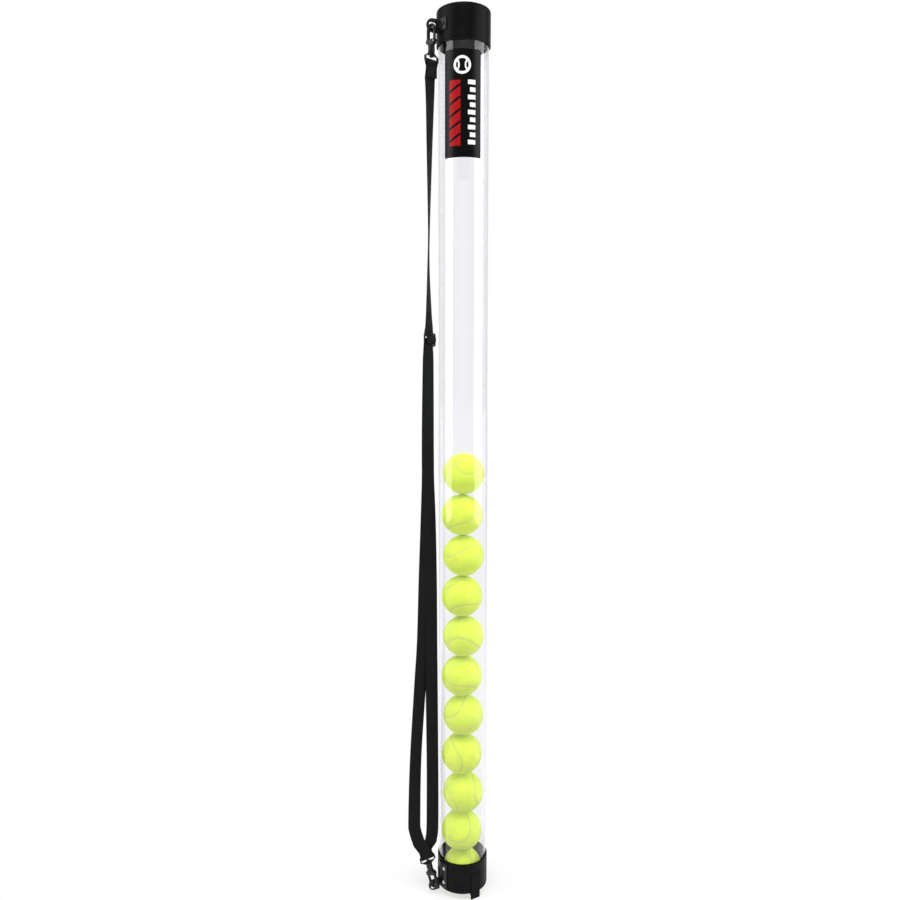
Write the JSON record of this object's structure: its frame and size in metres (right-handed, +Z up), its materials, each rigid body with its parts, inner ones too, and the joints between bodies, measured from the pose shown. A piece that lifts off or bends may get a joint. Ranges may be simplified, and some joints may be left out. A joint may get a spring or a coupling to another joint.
{
  "type": "tennis ball pick-up tube",
  "caption": "Clear tennis ball pick-up tube with black cap, sprung collar fingers and an adjustable shoulder strap clipped to lugs on its left side.",
  "frame": {"origin": "middle of the object's box, on the plane of the fingers' feet; the tube's axis stands 23.96 mm to +X of it", "axes": "+Z up along the tube, -Y the front that carries the label, +X to the right, the strap on the -X side"},
  "size_m": [0.129, 0.0812, 1.381],
  "materials": {
    "clear_plastic": "clear transparent polycarbonate",
    "cap_plastic": "satin black moulded",
    "finger_plastic": "satin black, springy",
    "label_print": "printed film, black with white and red shapes",
    "lug_black": "black satin",
    "hook_black": "black lacquer",
    "rivet_steel": "darkened steel",
    "pin_steel": "plain steel",
    "slider_plastic": "satin black",
    "webbing": "woven black polypropylene",
    "ball_felt": "optic yellow felt with pale seams"
  },
  "bodies": {
    "tube_body": {"clear_tube": "clear_plastic", "bottom_collar": "cap_plastic", "label": "label_print", "collar_lug": "lug_black", "collar_lug_rivet_1": "rivet_steel", "collar_lug_rivet_2": "rivet_steel", "collar_eye": "hook_black", "webbing_loop": "webbing"},
    "cap_body": {"top_cap": "cap_plastic", "cap_lug": "lug_black", "cap_lug_rivet_1": "rivet_steel", "cap_eye": "hook_black", "webbing_upper": "webbing"},
    "cap_hook_body": {"cap_hook_frame": "hook_black", "cap_gate_pin": "pin_steel"},
    "cap_gate_body": {"cap_gate": "hook_black", "cap_gate_spring": "pin_steel"},
    "collar_hook_body": {"collar_hook_frame": "hook_black", "collar_gate_pin": "pin_steel"},
    "collar_gate_body": {"collar_gate": "hook_black", "collar_gate_spring": "pin_steel"},
    "finger_1_body": {"retaining_finger_1": "finger_plastic"},
    "finger_2_body": {"retaining_finger_2": "finger_plastic"},
    "finger_3_body": {"retaining_finger_3": "finger_plastic"},
    "slider_body": {"strap_slider": "slider_plastic"},
    "ball_stack": {"ball_01": "ball_felt", "ball_02": "ball_felt", "ball_03": "ball_felt", "ball_04": "ball_felt", "ball_05": "ball_felt", "ball_06": "ball_felt", "ball_07": "ball_felt", "ball_08": "ball_felt", "ball_09": "ball_felt", "ball_10": "ball_felt", "ball_11": "ball_felt"}
  },
  "joints": [
    {"name": "cap_pull", "type": "slide", "parent": "tube_body", "child": "cap_body", "axis": [0, 0, 1], "range_m": [0, 0.06], "deforming": ["webbing_upper"]},
    {"name": "cap_hook_swivel", "type": "hinge", "parent": "cap_body", "child": "cap_hook_body", "pos_m": [-0.02364, -0.0222, 1.3259], "axis": [0, 0, 1], "range_deg": [-8, 9]},
    {"name": "cap_gate_swing", "type": "hinge", "parent": "cap_hook_body", "child": "cap_gate_body", "pos_m": [-0.01913, -0.02639, 1.3309], "axis": [-0.6806, -0.7326, 0], "range_deg": [0, 9], "stiffness_Nm_per_rad": 0.01, "springref_deg": -6.88},
    {"name": "collar_hook_swivel", "type": "hinge", "parent": "tube_body", "child": "collar_hook_body", "pos_m": [-0.02812, -0.0207, 0.04085], "axis": [0.2501, -0.06, -0.9664], "range_deg": [-3, 20]},
    {"name": "collar_gate_swing", "type": "hinge", "parent": "collar_hook_body", "child": "collar_gate_body", "pos_m": [-0.03195, -0.01788, 0.03451], "axis": [-0.5055, -0.8593, -0.0774], "range_deg": [0, 9], "stiffness_Nm_per_rad": 0.01, "springref_deg": -6.88},
    {"name": "finger_1_flex", "type": "hinge", "parent": "tube_body", "child": "finger_1_body", "pos_m": [0.04447, -0.03282, 0.0446], "axis": [-0.848, -0.5299, 0], "range_deg": [0, 11], "stiffness_Nm_per_rad": 2, "springref_deg": -4.58},
    {"name": "finger_2_flex", "type": "hinge", "parent": "tube_body", "child": "finger_2_body", "pos_m": [0.04779, 0.0305, 0.0446], "axis": [0.788, -0.6157, 0], "range_deg": [0, 11], "stiffness_Nm_per_rad": 2, "springref_deg": -4.58},
    {"name": "finger_3_flex", "type": "hinge", "parent": "tube_body", "child": "finger_3_body", "pos_m": [-0.01285, 0.01196, 0.0446], "axis": [0.309, 0.9511, 0], "range_deg": [0, 11], "stiffness_Nm_per_rad": 2, "springref_deg": -4.58},
    {"name": "slider_slide", "type": "slide", "parent": "tube_body", "child": "slider_body", "axis": [0, 0, 1], "range_m": [-0.25, 0.2], "deforming": ["webbing_loop"]},
    {"name": "ball_rise", "type": "slide", "parent": "tube_body", "child": "ball_stack", "axis": [0, 0, 1], "range_m": [0, 0.6]}
  ],
  "couplings": [
    {"joint": "finger_2_flex", "follows": "finger_1_flex", "ratio": 1},
    {"joint": "finger_3_flex", "follows": "finger_1_flex", "ratio": 1}
  ]
}
